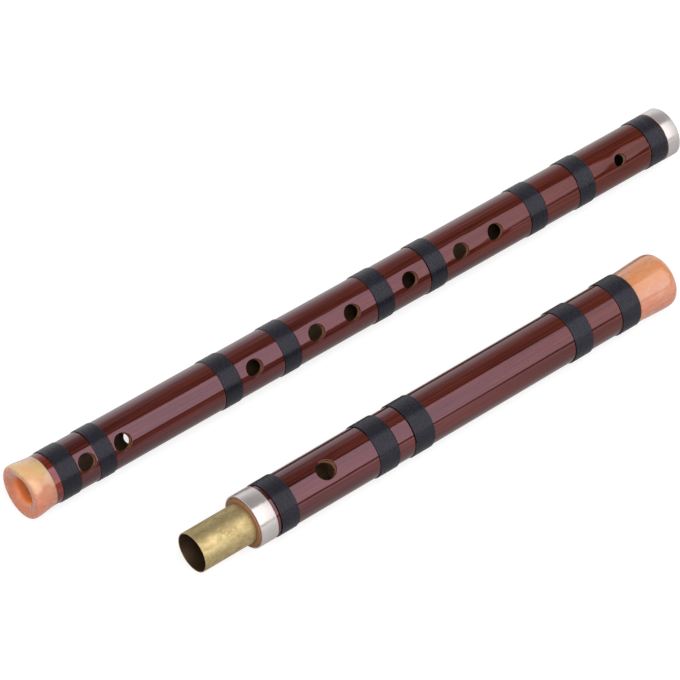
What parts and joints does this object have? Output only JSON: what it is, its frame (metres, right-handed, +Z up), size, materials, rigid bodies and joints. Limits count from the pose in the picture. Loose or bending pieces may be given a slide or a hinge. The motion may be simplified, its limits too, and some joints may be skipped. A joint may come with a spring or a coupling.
{
  "type": "dizi",
  "caption": "Side-blown bamboo flute in two sections lying side by side, with thread bindings, flared resin end fittings, metal ferrules and a brass tenon.",
  "frame": {"origin": "middle of the whole layout on the surface that it lies on", "axes": "+X along both tubes, from the body section's tail ring to its socket; +Y from the head section's lane to the body section's; +Z up"},
  "size_m": [0.3702, 0.0992, 0.0256],
  "materials": {
    "bamboo": "glossy dark red-brown lacquer over straight grain",
    "marbled_resin": "polished, cloudy orange to cream",
    "nickel": "polished nickel-silver",
    "brass": "satin, handled",
    "black_thread": "waxed, close-wound",
    "cork": "matt cork"
  },
  "bodies": {
    "body_section": {"body_tube": "bamboo", "tail_ring": "marbled_resin", "socket_sleeve": "brass", "body_ferrule": "nickel", "binding_01": "black_thread", "binding_02": "black_thread", "binding_03": "black_thread", "binding_04": "black_thread", "binding_05": "black_thread", "binding_06": "black_thread", "binding_07": "black_thread", "binding_08": "black_thread", "binding_09": "black_thread"},
    "tenon": {"tenon_sleeve": "brass"},
    "head_section": {"head_tube": "bamboo", "head_cap": "marbled_resin", "head_ferrule": "nickel", "binding_10": "black_thread", "binding_11": "black_thread", "binding_12": "black_thread", "binding_13": "black_thread", "binding_14": "black_thread"},
    "stopper": {"stopper": "cork"}
  },
  "joints": [
    {"name": "head_slide", "type": "slide", "parent": "body_section", "child": "tenon", "axis": [-1, 0, 0], "range_m": [0, 0.0268]},
    {"name": "head_twist", "type": "hinge", "parent": "tenon", "child": "head_section", "pos_m": [-0.1258, -0.03685, 0.0128], "axis": [1, 0, 0], "continuous": true},
    {"name": "stopper_slide", "type": "slide", "parent": "head_section", "child": "stopper", "axis": [1, 0, 0], "range_m": [-0.002, 0.006]}
  ]
}
